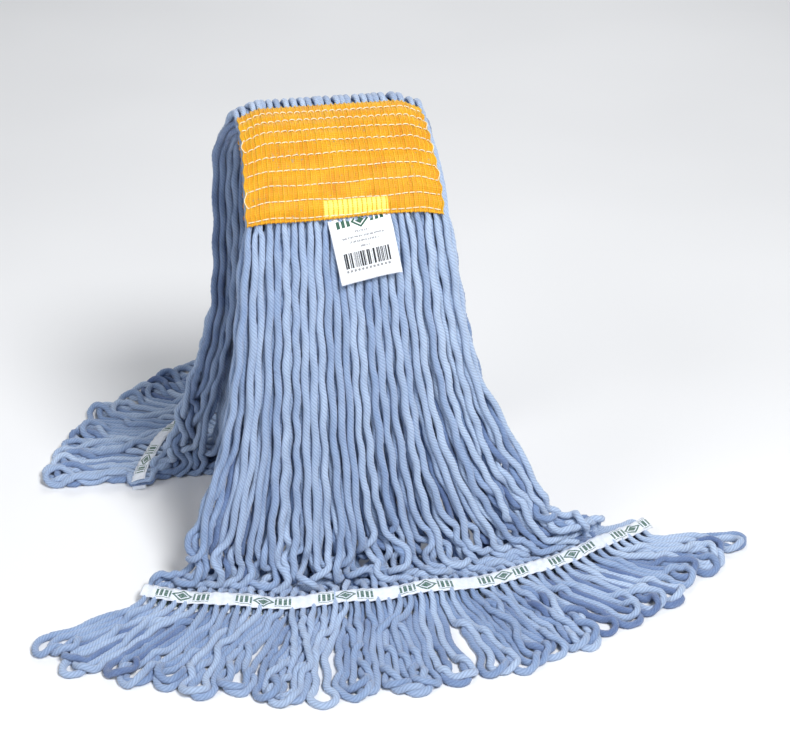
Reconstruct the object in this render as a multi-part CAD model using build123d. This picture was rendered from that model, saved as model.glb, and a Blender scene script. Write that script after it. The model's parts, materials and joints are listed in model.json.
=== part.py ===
from build123d import *

import os
from math import cos, degrees, radians, sin

# String mop head, draped over its crest as it hangs on a mop holder's cross bar.
# Millimetres, +Z up, +X along the headband, -Y towards the side that the headband faces.
# The floor is z = 0, and the origin is under the middle of the whole head.

# Headband
band_width = 152.0
band_length = 118.0
panel_thickness = 1.5
bed_thickness = 16.0
drape_radius = 95.0
crest_height = 403.0
crest_overlap = 6.0

# Lock-stitch rows through the headband
row_count = 9
row_pitch = 12.7
thread_width = 1.6
thread_height = 0.8
row_inset = 3.0

# Yarn
lock_count = 8
lock_gap = 0.8
skirt_thickness = 20.0
heel_thickness = 30.0
drop_levels = (0.35, 0.65, 0.88)
spread_early = 0.4
spread_late_power = 6

# Tail tape: a ply above the yarn and a ply below it
tape_width = 13.0
tape_thickness = 1.0
tape_stack = 14.0
tape_run_in = 5.0
tape_thread_inset = 2.0

# Fringe of loops beyond the tail tape
fringe_tip_thickness = 8.0

# Paper label, sewn under the headband's hem
label_width = 50.0
label_length = 58.0
label_thickness = 0.6
label_middle = 15.0
label_tilt = 9.0

# Clearances
sewn_gap = 0.2
hinge_gap = 0.6
inward_swing = 10.0
label_gap = 0.5

# Where the tail tapes and the loops' tips lie on the floor, measured from under the crest
front_tape_line = ThreePointArc((-182, -101), (45, -143), (272, -75))
front_tip_line = ThreePointArc((-276, -154), (36, -270), (354, -111))
back_tape_line = ThreePointArc((-177, 76), (0, 232), (140, 172))
back_tip_line = ThreePointArc((-264, 70), (-20, 325), (205, 245))

FRONT, BACK = -1, 1
arc_centre_z = crest_height - drape_radius
hem_angle = degrees((band_length - crest_overlap) / drape_radius)
overlap_angle = degrees(crest_overlap / drape_radius)
bed_outer = drape_radius - panel_thickness - sewn_gap
bed_inner = bed_outer - bed_thickness
inner_panel_outer = bed_inner - sewn_gap
inner_panel_inner = inner_panel_outer - panel_thickness
nodes = {}


def drape_point(side, angle, radius, x=0.0):
    """A point on the drape's curve, at an angle from the crest towards the side."""
    y = side * radius * sin(radians(angle))
    return Vector(x, y, arc_centre_z + radius * cos(radians(angle)))


def drape_slab(outer, inner, back_angle, front_angle, x_from, x_to):
    """A curved slab of the drape between two radii, two angles and two places along X."""
    middle = (front_angle - back_angle) / 2
    outer_arc = ThreePointArc(
        drape_point(BACK, back_angle, outer),
        drape_point(FRONT, middle, outer),
        drape_point(FRONT, front_angle, outer),
    )
    inner_arc = ThreePointArc(
        drape_point(FRONT, front_angle, inner),
        drape_point(FRONT, middle, inner),
        drape_point(BACK, back_angle, inner),
    )
    outline = Wire([
        outer_arc,
        Line(outer_arc @ 1, inner_arc @ 0),
        inner_arc,
        Line(inner_arc @ 1, outer_arc @ 0),
    ])
    slab = extrude(Face(outline), amount=x_to - x_from, dir=(1, 0, 0))
    return Pos(x_from, 0, 0) * slab


def flat_sided(sections):
    """A closed solid with flat triangular sides through four-cornered sections."""
    faces = []

    def add_quad(a, b, c, d):
        faces.append(Face(Wire.make_polygon([a, b, c])))
        faces.append(Face(Wire.make_polygon([a, c, d])))

    add_quad(*sections[0])
    add_quad(*sections[-1])
    for near, far in zip(sections, sections[1:]):
        for start, end in ((0, 1), (1, 2), (3, 2), (0, 3)):
            add_quad(near[start], near[end], far[end], far[start])
    return Solid(Shell(faces))


def floor_point(line, u, outward, z):
    """A point at a share u along a floor line, moved outward from the line's centre."""
    spoke = (line @ u) - line.arc_center
    reach = (line.radius + outward) / line.radius
    return line.arc_center + spoke * reach + Vector(0, 0, z)


def spread(level):
    """How far the yarn has fanned out from the shoulder to the tape at a level of its drop."""
    return spread_early * level + (1 - spread_early) * level**spread_late_power


def root_pair(side, angle, x):
    """The skirt's top edge, cut back so that it can swing inward under the crown."""
    pivot = drape_point(side, angle, drape_radius, x)
    cut = angle - inward_swing
    down = Vector(0, side * cos(radians(angle)), -sin(radians(angle))) * hinge_gap
    across = Vector(0, -side * sin(radians(cut)), -cos(radians(cut)))
    return pivot + down, pivot + down + across * skirt_thickness


def skirt_pairs(side, tape_line, angles, u):
    """Outer and inner points down one skirt at a share u of its width, ending at the tape."""
    x = band_width * (u - 0.5)
    pairs = [root_pair(side, angles[0], x)]
    for angle in angles[1:]:
        outer = drape_point(side, angle, drape_radius, x)
        pairs.append((outer, drape_point(side, angle, drape_radius - skirt_thickness, x)))
    shoulder = drape_point(side, hem_angle, drape_radius, x)
    foot = floor_point(tape_line, u, -tape_width / 2 - tape_run_in, tape_stack)
    for level in drop_levels:
        outer = shoulder + (foot - shoulder) * spread(level)
        outer.Z = shoulder.Z + (foot.Z - shoulder.Z) * level
        inner = outer + Vector(0, -side * skirt_thickness, 0)
        if level == drop_levels[-1]:
            inner = Vector(outer.X, outer.Y - side * heel_thickness, 0)
        pairs.append((outer, inner))
    pairs.append((foot, foot - Vector(0, 0, tape_stack)))
    for outward in (-tape_width / 2 - sewn_gap, tape_width / 2 + sewn_gap):
        low = tape_thickness + sewn_gap
        pairs.append((
            floor_point(tape_line, u, outward, tape_stack - low),
            floor_point(tape_line, u, outward, low),
        ))
    return pairs


def fringe_pairs(tape_line, tip_line, u):
    """Upper and lower points of the fringe at a share u of its width."""
    half_chord_angle = tape_line.length / tape_line.radius / lock_count / 2
    chord_sag = tape_line.radius * (1 - cos(half_chord_angle))
    start = floor_point(tape_line, u, tape_width / 2 + lock_gap + chord_sag, 0)
    tip = tip_line @ u
    rise = Vector(0, 0, tape_stack - tape_thickness)
    return [(start + rise, start), (tip + Vector(0, 0, fringe_tip_thickness), tip)]


def lock_solid(pairs_at, number):
    """One yarn lock between its two edges, a little clear of the locks beside it."""
    margin = lock_gap / band_width / 2
    left = pairs_at(number / lock_count + margin)
    right = pairs_at((number + 1) / lock_count - margin)
    return flat_sided([(a, c, d, b) for (a, b), (c, d) in zip(left, right)])


def ribbon(line, inner, outer, low, high):
    """A flat ribbon that follows a floor line, between two distances outward from it."""
    def edge(outward, shares):
        return ThreePointArc(*(floor_point(line, u, outward, low) for u in shares))

    near = edge(inner, (0, 0.5, 1))
    far = edge(outer, (1, 0.5, 0))
    outline = Wire([near, Line(near @ 1, far @ 0), far, Line(far @ 1, near @ 0)])
    return extrude(Face(outline), amount=high - low, dir=(0, 0, 1))


def build_headband():
    """The two mesh panels, the yarn bed between them and the rows of thread on both faces."""
    half = band_width / 2
    nodes["headband_outer_panel"] = drape_slab(
        drape_radius, drape_radius - panel_thickness, overlap_angle, hem_angle, -half, half)
    nodes["headband_inner_panel"] = drape_slab(
        inner_panel_outer, inner_panel_inner, overlap_angle, hem_angle, -half, half)
    lock_width = band_width / lock_count
    for number in range(lock_count):
        x = -half + number * lock_width
        nodes[f"crown_lock_{number + 1}"] = drape_slab(
            bed_outer, bed_inner, overlap_angle, hem_angle,
            x + lock_gap / 2, x + lock_width - lock_gap / 2)
    first_row = (band_length - (row_count - 1) * row_pitch) / 2 - crest_overlap
    for name, radius, rise in (
        ("needle_thread_rows", drape_radius, thread_height),
        ("bobbin_thread_rows", inner_panel_inner, -thread_height),
    ):
        rows = []
        for number in range(row_count):
            angle = degrees((first_row + number * row_pitch) / drape_radius)
            wide = degrees(thread_width / radius / 2)
            radii = sorted((radius, radius + rise))
            rows.append(drape_slab(
                radii[1], radii[0], wide - angle, angle + wide, row_inset - half, half - row_inset))
        nodes[name] = Compound(rows)


def build_skirt(name, side, tape_line, tip_line, angles):
    """One half of the yarn below the headband, with its tail tape, thread and fringe."""
    for number in range(lock_count):
        nodes[f"{name}_lock_{number + 1}"] = lock_solid(
            lambda u: skirt_pairs(side, tape_line, angles, u), number)
        nodes[f"{name}_fringe_{number + 1}"] = lock_solid(
            lambda u: fringe_pairs(tape_line, tip_line, u), number)
    half = tape_width / 2
    nodes[f"{name}_tape_lower"] = ribbon(tape_line, -half, half, 0, tape_thickness)
    top = tape_stack
    nodes[f"{name}_tape_upper"] = ribbon(tape_line, -half, half, top - tape_thickness, top)
    rows = []
    for outward in (-half + tape_thread_inset, half - tape_thread_inset):
        edges = (outward - thread_width / 2, outward + thread_width / 2)
        rows.append(ribbon(tape_line, *edges, top, top + thread_height))
    nodes[f"{name}_tape_thread"] = Compound(rows)


def build_label():
    """The paper label, flat against the front skirt, its top edge at the hem."""
    hem = drape_point(FRONT, hem_angle, drape_radius)
    below = skirt_pairs(FRONT, front_tape_line, [hem_angle], 0.5)[1][0]
    lean = Vector(0, hem.Y - below.Y, hem.Z - below.Z).get_angle(Vector(0, 0, 1))
    drop = label_width / 2 * sin(radians(label_tilt)) + label_length / 2 * cos(radians(label_tilt))
    sheet = Rot(0, -label_tilt, 0) * Box(label_width, label_thickness, label_length)
    hung = Pos(0, -label_gap - label_thickness / 2, -drop - hinge_gap) * sheet
    nodes["label"] = Pos(label_middle, hem.Y, hem.Z) * Rot(-lean, 0, 0) * hung


def main():
    """Build every node, put the origin under the middle of the head and write the parts."""
    build_headband()
    build_skirt("front", FRONT, front_tape_line, front_tip_line, [hem_angle])
    shoulder_step = (hem_angle - overlap_angle) / 3
    shoulder = [overlap_angle + shoulder_step * number for number in range(4)]
    build_skirt("back", BACK, back_tape_line, back_tip_line, shoulder)
    build_label()
    whole = Compound(list(nodes.values())).bounding_box()
    to_origin = Pos(-(whole.min.X + whole.max.X) / 2, -(whole.min.Y + whole.max.Y) / 2, -whole.min.Z)
    os.makedirs("parts", exist_ok=True)
    for name, shape in nodes.items():
        export_step(to_origin * shape, f"parts/{name}.step")


main()
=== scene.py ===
"""A looped-end string mop head: a wide knitted headband, two skirts of yarn, tail tapes and a paper tag."""

import json
import logging
import math
from dataclasses import dataclass, field
from enum import Enum

import bpy
import numpy as np
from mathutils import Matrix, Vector

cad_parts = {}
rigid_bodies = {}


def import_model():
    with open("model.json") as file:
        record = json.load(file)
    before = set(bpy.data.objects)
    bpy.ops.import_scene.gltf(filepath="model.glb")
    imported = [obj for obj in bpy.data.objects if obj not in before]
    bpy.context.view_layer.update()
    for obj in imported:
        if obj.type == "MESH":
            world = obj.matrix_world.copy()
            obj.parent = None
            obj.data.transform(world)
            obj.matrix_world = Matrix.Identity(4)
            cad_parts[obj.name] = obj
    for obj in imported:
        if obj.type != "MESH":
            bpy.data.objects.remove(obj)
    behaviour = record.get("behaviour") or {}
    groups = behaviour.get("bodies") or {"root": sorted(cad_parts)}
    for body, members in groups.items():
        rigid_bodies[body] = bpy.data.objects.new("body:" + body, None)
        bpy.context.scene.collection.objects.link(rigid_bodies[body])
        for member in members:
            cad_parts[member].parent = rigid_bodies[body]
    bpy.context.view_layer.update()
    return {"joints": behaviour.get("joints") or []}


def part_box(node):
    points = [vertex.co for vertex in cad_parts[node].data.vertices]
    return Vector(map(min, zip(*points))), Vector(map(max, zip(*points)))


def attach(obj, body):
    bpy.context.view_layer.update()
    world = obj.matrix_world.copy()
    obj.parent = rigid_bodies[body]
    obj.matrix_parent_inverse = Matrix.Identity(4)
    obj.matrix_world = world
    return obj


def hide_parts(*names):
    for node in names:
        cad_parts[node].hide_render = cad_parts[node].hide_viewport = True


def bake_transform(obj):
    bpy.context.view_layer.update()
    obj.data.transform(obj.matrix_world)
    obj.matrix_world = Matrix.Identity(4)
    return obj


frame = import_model()

LOG = logging.getLogger("string_mop")
MM = 0.001
Color = tuple[float, float, float, float]
Array = np.ndarray
Material = bpy.types.Material
Piece = bpy.types.Object
Socket = bpy.types.NodeSocket
TAU = 2 * math.pi
SADDLE_RADIUS = 0.095
FULL_STEPS = 150


# ---------------------------------------------------------------- small helpers


def smooth(start: float, end: float, value: Array) -> Array:
    """Eases from 0 to 1 between two values.

    Args:
        start: Where the ease is still 0.
        end: Where the ease has reached 1.
        value: The values to ease.

    Returns:
        The eased values, from 0 to 1.
    """
    share = np.clip((np.asarray(value, float) - start) / (end - start), 0, 1)
    return share * share * (3 - 2 * share)


def linear(red: int, green: int, blue: int) -> Color:
    """Turns a display colour into the linear colour that shaders take.

    Args:
        red: Red from 0 to 255.
        green: Green from 0 to 255.
        blue: Blue from 0 to 255.

    Returns:
        The linear colour with full alpha.
    """
    shares = [c / 255 for c in (red, green, blue)]
    curve = [c / 12.92 if c <= 0.04045 else ((c + 0.055) / 1.055) ** 2.4 for c in shares]
    return (curve[0], curve[1], curve[2], 1.0)


def spaced(points: Array, spacing: float, least: float = 0.0) -> tuple[Array, float]:
    """Divides a line of points evenly.

    Args:
        points: The line's points.
        spacing: About how far apart the new points are.
        least: The least length that the spacing is worked out for.

    Returns:
        The evenly spaced points and the line's own length.
    """
    run = np.r_[0, np.cumsum(np.linalg.norm(np.diff(points, axis=0), axis=1))]
    count = max(2, int(round(max(run[-1], least) / spacing))) + 1
    places = np.linspace(0, run[-1], count)
    return np.stack([np.interp(places, run, points[:, k]) for k in range(3)], -1), float(run[-1])


def joint_point(name: str) -> Array:
    """Finds where a joint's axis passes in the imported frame.

    Args:
        name: The joint's name.

    Returns:
        The point in metres.
    """
    found = next(j for j in frame["joints"] if j["name"] == name)
    return np.array(found["pos_m"], float)


def linked(name: str, mesh: bpy.types.Mesh) -> Piece:
    """Puts a mesh into the scene as an object of its own."""
    made = bpy.data.objects.new(name, mesh)
    bpy.context.scene.collection.objects.link(made)
    return made


def plain(source: Piece, name: str) -> Piece:
    """Turns an object with live modifiers into a plain mesh object and removes the first one.

    Args:
        source: The object with its modifiers.
        name: The plain object's name.

    Returns:
        The plain object.
    """
    graph = bpy.context.evaluated_depsgraph_get()
    mesh = bpy.data.meshes.new_from_object(
        source.evaluated_get(graph), preserve_all_data_layers=True, depsgraph=graph
    )
    mesh.name = name
    bpy.data.objects.remove(source)
    return linked(name, mesh)


# ---------------------------------------------------------------- finishes


class NodeTree:
    """A node tree with short ways to add and join its nodes."""

    def __init__(self, tree: bpy.types.NodeTree) -> None:
        """Takes the tree that the nodes go in."""
        self.tree = tree

    def node(self, kind: str, values: dict[str | int, object], **settings: object) -> bpy.types.Node:
        """Adds a node.

        Args:
            kind: The node's type.
            values: Its inputs by name or number; a socket is linked and anything else is set.
            **settings: Its own properties.

        Returns:
            The node.
        """
        made = self.tree.nodes.new(kind)
        for key, value in settings.items():
            setattr(made, key, value)
        self.feed(made, values)
        return made

    def feed(self, node: bpy.types.Node, values: dict[str | int, object]) -> None:
        """Links or sets a node's inputs."""
        for key, value in values.items():
            if isinstance(value, Socket):
                self.tree.links.new(value, node.inputs[key])
            else:
                node.inputs[key].default_value = value

    def math(self, operation: str, first: object, second: object = 0.0, third: object = 0.0) -> Socket:
        """Adds a Math node and gives its result."""
        return self.node("ShaderNodeMath", {0: first, 1: second, 2: third}, operation=operation).outputs[0]


class ShaderTree(NodeTree):
    """A material whose surface is one Principled shader."""

    def __init__(self, name: str) -> None:
        """Starts the material."""
        self.material = bpy.data.materials.new(name)
        self.material.use_nodes = True
        super().__init__(self.material.node_tree)
        self.shader = self.tree.nodes["Principled BSDF"]

    def within(self, value: object, low: float, high: float) -> Socket:
        """Gives 1 where a value is between two limits, and 0 elsewhere."""
        above = self.math("GREATER_THAN", value, low)
        return self.math("MULTIPLY", above, self.math("LESS_THAN", value, high))

    def mixed(self, share: object, first: object, second: object) -> Socket:
        """Mixes two colours and gives the result."""
        return self.node("ShaderNodeMix", {0: share, 6: first, 7: second}, data_type="RGBA").outputs[2]

    def noise(self, scale: float, detail: float) -> Socket:
        """Adds noise on Object coordinates and gives its factor."""
        place = self.node("ShaderNodeTexCoord", {}).outputs["Object"]
        made = self.node("ShaderNodeTexNoise", {"Vector": place, "Scale": scale, "Detail": detail})
        return made.outputs["Fac"]

    def flat_place(self) -> tuple[Socket, Socket]:
        """Gives the two coordinates on a cloth's own flat shape, in metres."""
        place = self.node("ShaderNodeUVMap", {}, uv_map="cloth").outputs["UV"]
        parts = self.node("ShaderNodeSeparateXYZ", {0: place})
        return parts.outputs["X"], parts.outputs["Y"]

    def attribute(self, name: str) -> Socket:
        """Reads one of the mesh's own numbers."""
        return self.node("ShaderNodeAttribute", {}, attribute_name=name).outputs["Fac"]

    def ramp(self, value: object, stops: list[tuple[float, Color]]) -> Socket:
        """Turns a number into a colour.

        Args:
            value: The number, from 0 to 1.
            stops: The places and colours, in order.

        Returns:
            The colour.
        """
        made = self.node("ShaderNodeValToRGB", {0: value})
        elements = made.color_ramp.elements
        elements[0].position, elements[0].color = stops[0]
        elements[1].position, elements[1].color = stops[-1]
        for place, color in stops[1:-1]:
            elements.new(place).color = color
        return made.outputs["Color"]

    def bump(self, height: object, depth: float, strength: float) -> None:
        """Roughens the surface by a height in metres."""
        made = self.node("ShaderNodeBump", {"Height": height, "Distance": depth, "Strength": strength})
        self.feed(self.shader, {"Normal": made.outputs["Normal"]})

    def surface(self, color: object, values: dict[str, object]) -> Material:
        """Joins the colour to the shader, sets its other inputs and gives the material."""
        self.feed(self.shader, {"Base Color": color, **values})
        return self.material


@dataclass(frozen=True)
class YarnFinish:
    """Soft blended yarn with a fibrous surface; lower strands are darker, down to the deep tone, which is
    painted shade.
    """

    # Painted shade: the dark colour that the grooves between the plies are mixed towards.
    groove_shade: Color = linear(66, 86, 140)
    # Painted shade: the deep tone stands for the shadow that the upper strands cast on the lower ones.
    deep: Color = linear(90, 112, 156)
    shade: Color = linear(136, 161, 199)
    light: Color = linear(192, 212, 238)

    def material(self) -> Material:
        """Builds the yarn's material, which reads each strand's tone and the height of its plies, and paints
        shade into the grooves between the plies.
        """
        tree = ShaderTree("mop_yarn")
        tone = tree.attribute("tone")
        fibre = tree.noise(1500, 3)
        patch = tree.noise(38, 2)
        level = tree.math("MULTIPLY_ADD", tone, 0.42, tree.math("MULTIPLY_ADD", fibre, 0.4, -0.05))
        level = tree.math("MULTIPLY_ADD", patch, 0.4, tree.math("SUBTRACT", level, 0.05))
        # The ramp's deep end holds the lower strands' painted shade; the rest of the level varies at random.
        body = tree.ramp(level, [(0.0, self.deep), (0.24, self.shade), (0.8, self.light)])
        # Painted shade: the grooves between the plies are darkened towards the groove colour, standing in for
        # the shade that falls in them.
        groove = tree.math("SUBTRACT", 1.0, tree.attribute("ply"))
        color = tree.mixed(tree.math("MULTIPLY", tree.math("POWER", groove, 1.5), 0.42), body, self.groove_shade)
        height = tree.math("ADD", tree.noise(2600, 3), tree.math("MULTIPLY", tree.noise(700, 2), 0.8))
        tree.bump(height, 0.0007, 0.8)
        wear = tree.math("MULTIPLY_ADD", fibre, 0.15, 0.8)
        return tree.surface(
            color,
            {"Roughness": wear, "Sheen Weight": 0.35, "Sheen Roughness": 0.5, "Specular IOR Level": 0.2},
        )


class KnitPart(Enum):
    """Which part of the knitted headband a finish is for."""

    GROUND = "ground"
    WALE = "wale"
    WEFT = "weft"


@dataclass(frozen=True)
class KnitFinish:
    """Coarse yellow-orange warp-knitted mesh of round polyester yarn."""

    part: KnitPart
    dark: Color = linear(200, 127, 4)
    middle: Color = linear(224, 163, 8)
    bright: Color = linear(238, 192, 34)
    show_through: Color = linear(150, 140, 120)

    def material(self) -> Material:
        """Builds the finish of the ground cloth, its wales or its weft threads."""
        tree = ShaderTree(f"headband_{self.part.value}")
        fine = tree.noise(1900, 3)
        patch = tree.noise(55, 3)
        level = tree.math("ADD", tree.math("MULTIPLY", fine, 0.5), tree.math("MULTIPLY", patch, 0.5))
        if self.part is KnitPart.WALE:
            color = tree.ramp(level, [(0.3, self.middle), (0.62, self.bright)])
        elif self.part is KnitPart.WEFT:
            color = tree.ramp(level, [(0.3, self.dark), (0.7, self.bright)])
        else:
            cloth = tree.ramp(level, [(0.3, self.dark), (0.7, self.middle)])
            speck = tree.math("MULTIPLY", self._threshold(tree, 320, 0.66), self._threshold(tree, 60, 0.52))
            color = tree.mixed(tree.math("MULTIPLY", speck, 0.75), cloth, self.show_through)
        tree.bump(fine, 0.0003, 0.6)
        wear = tree.math("MULTIPLY_ADD", fine, 0.2, 0.5)
        return tree.surface(color, {"Roughness": wear, "Sheen Weight": 0.15, "Specular IOR Level": 0.35})

    @staticmethod
    def _threshold(tree: ShaderTree, scale: float, limit: float) -> Socket:
        """Gives 1 where noise of a scale is over a limit."""
        return tree.math("GREATER_THAN", tree.noise(scale, 2), limit)


@dataclass(frozen=True)
class ThreadFinish:
    """Cream sewing thread with a soft shine and a visible twist."""

    name: str = "sewing_thread"
    dark: Color = linear(214, 196, 158)
    light: Color = linear(250, 240, 214)

    def material(self) -> Material:
        """Builds the thread's material."""
        tree = ShaderTree(self.name)
        fibre = tree.noise(2400, 3)
        color = tree.ramp(fibre, [(0.3, self.dark), (0.6, self.light)])
        tree.bump(fibre, 0.0002, 0.6)
        wear = tree.math("MULTIPLY_ADD", fibre, 0.2, 0.45)
        return tree.surface(color, {"Roughness": wear, "Sheen Weight": 0.1})


@dataclass(frozen=True)
class TapeFinish:
    """White woven tail tape, printed with a plain green lozenge between short bars."""

    repeat: float = 0.0700
    half_mark: float = 0.0235
    half_lozenge: tuple[float, float] = (0.0095, 0.0052)
    bar_start: float = 0.0098
    bar_pitch: float = 0.0043
    bar_half_height: float = 0.0032
    rule_edges: tuple[float, float] = (0.0040, 0.0045)
    warp_pitch: float = 0.00085
    weft_pitch: float = 0.0011
    cloth: Color = linear(236, 241, 250)
    shade: Color = linear(206, 215, 230)
    ink: Color = linear(20, 84, 62)

    def material(self) -> Material:
        """Builds the tape's weave and its repeating print, on UV coordinates in metres."""
        tree = ShaderTree("tail_tape")
        along, across = tree.flat_place()
        warp = tree.math("SINE", tree.math("MULTIPLY", across, TAU / self.warp_pitch))
        weft = tree.math("SINE", tree.math("MULTIPLY", along, TAU / self.weft_pitch))
        weave = tree.math("MULTIPLY_ADD", tree.math("MULTIPLY", warp, weft), 0.5, 0.5)
        level = tree.math("MULTIPLY_ADD", weave, 0.35, tree.math("MULTIPLY", tree.noise(260, 3), 0.6))
        cloth = tree.ramp(level, [(0.2, self.shade), (0.62, self.cloth)])
        print_mask = self._print(tree, along, across)
        thin = tree.math("MULTIPLY_ADD", tree.noise(900, 2), 0.9, 0.42)
        share = tree.math("MULTIPLY", print_mask, tree.math("MINIMUM", thin, 0.96))
        color = tree.mixed(share, cloth, self.ink)
        tree.bump(weave, 0.00022, 0.8)
        wear = tree.math("MULTIPLY_ADD", weave, 0.12, 0.6)
        return tree.surface(color, {"Roughness": wear, "Sheen Weight": 0.1})

    def _print(self, tree: ShaderTree, along: object, across: object) -> Socket:
        """Lays out the print.

        Args:
            tree: The material's tree.
            along: The distance along the tape.
            across: The distance from the tape's middle.

        Returns:
            1 where there is ink, and 0 elsewhere.
        """
        turn = tree.math("FRACT", tree.math("DIVIDE", along, self.repeat))
        place = tree.math("MULTIPLY", turn, self.repeat)
        offset = tree.math("ABSOLUTE", tree.math("SUBTRACT", place, self.repeat / 2))
        height = tree.math("ABSOLUTE", across)
        wide, tall = self.half_lozenge
        reach = tree.math("ADD", tree.math("DIVIDE", offset, wide), tree.math("DIVIDE", height, tall))
        lozenge = tree.math("SUBTRACT", tree.math("LESS_THAN", reach, 1.0), tree.within(reach, 0.52, 0.7))
        bar = tree.math("LESS_THAN", tree.math("FRACT", tree.math("DIVIDE", offset, self.bar_pitch)), 0.66)
        zone = tree.within(offset, self.bar_start, self.half_mark)
        low = tree.math("LESS_THAN", height, self.bar_half_height)
        bars = tree.math("MULTIPLY", tree.math("MULTIPLY", bar, zone), low)
        rule = tree.math("MULTIPLY", zone, tree.within(height, *self.rule_edges))
        return tree.math("MINIMUM", tree.math("ADD", tree.math("MAXIMUM", lozenge, bars), rule), 1.0)


@dataclass(frozen=True)
class PaperFinish:
    """White tag paper with grey lines and a block of bars, placed from its middle in metres."""

    name: str = "tag_paper"
    printed: bool = True
    paper: Color = linear(240, 242, 246)
    shade: Color = linear(222, 226, 233)
    ink: Color = linear(34, 38, 42)
    green: Color = linear(22, 78, 60)

    def material(self) -> Material:
        """Builds the paper and its generic print."""
        tree = ShaderTree(self.name)
        grain = tree.noise(700, 3)
        color = tree.ramp(grain, [(0.3, self.shade), (0.65, self.paper)])
        if self.printed:
            across, down = tree.flat_place()
            color = tree.mixed(self._heading(tree, across, down), color, self.green)
            color = tree.mixed(self._lines(tree, across, down), color, self.ink)
            color = tree.mixed(self._bars(tree, across, down), color, self.ink)
        tree.bump(grain, 0.0001, 0.4)
        wear = tree.math("MULTIPLY_ADD", grain, 0.15, 0.5)
        return tree.surface(color, {"Roughness": wear, "Specular IOR Level": 0.4})

    def _heading(self, tree: ShaderTree, across: object, down: object) -> Socket:
        """Gives the mask of the lozenge and the short blocks at the top."""
        height = tree.math("ABSOLUTE", tree.math("SUBTRACT", down, -0.0010))
        offset = tree.math("ABSOLUTE", across)
        reach = tree.math("ADD", tree.math("DIVIDE", offset, 0.0075), tree.math("DIVIDE", height, 0.0046))
        lozenge = tree.math("SUBTRACT", tree.math("LESS_THAN", reach, 1.0), tree.within(reach, 0.5, 0.68))
        block = tree.math("LESS_THAN", tree.math("FRACT", tree.math("DIVIDE", offset, 0.0041)), 0.68)
        blocks = tree.math("MULTIPLY", tree.math("MULTIPLY", block, tree.within(offset, 0.0082, 0.0205)),
                           tree.math("LESS_THAN", height, 0.0024))
        return tree.math("MAXIMUM", lozenge, blocks)

    def _lines(self, tree: ShaderTree, across: object, down: object) -> Socket:
        """Gives the mask of four grey lines, broken at uneven places."""
        mask: object = 0.0
        for place, half in ((0.0060, 0.006), (0.0103, 0.018), (0.0140, 0.012), (0.0185, 0.004)):
            row = tree.within(down, place - 0.0008, place + 0.0008)
            wide = tree.math("LESS_THAN", tree.math("ABSOLUTE", across), half)
            mask = tree.math("MAXIMUM", mask, tree.math("MULTIPLY", row, wide))
        fine, coarse = tree.math("MULTIPLY", across, 900), tree.math("MULTIPLY", down, 200)
        cell = tree.node("ShaderNodeCombineXYZ", {0: fine, 1: coarse})
        worn = tree.node("ShaderNodeTexNoise", {"Vector": cell.outputs[0], "Scale": 1.0, "Detail": 0.0})
        broken = tree.math("GREATER_THAN", worn.outputs["Fac"], 0.44)
        return tree.math("MULTIPLY", tree.math("MULTIPLY", mask, broken), 0.62)

    def _bars(self, tree: ShaderTree, across: object, down: object) -> Socket:
        """Gives the mask of the block of upright bars and the dotted line under it."""
        inside = tree.math("LESS_THAN", tree.math("ABSOLUTE", across), 0.0185)
        tall = tree.within(down, 0.0225, 0.0360)
        along = tree.math("MULTIPLY", across, 760)
        values = {"W": along, "Scale": 1.0, "Detail": 1.0}
        line = tree.node("ShaderNodeTexNoise", values, noise_dimensions="1D")
        bars = tree.math("MULTIPLY", tree.math("GREATER_THAN", line.outputs["Fac"], 0.49), tall)
        dots = tree.math("LESS_THAN", tree.math("FRACT", tree.math("DIVIDE", across, 0.0031)), 0.6)
        dots = tree.math("MULTIPLY", dots, tree.within(down, 0.0374, 0.0394))
        return tree.math("MULTIPLY", inside, tree.math("MAXIMUM", bars, tree.math("MULTIPLY", dots, 0.7)))


# ---------------------------------------------------------------- geometry nodes


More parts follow.
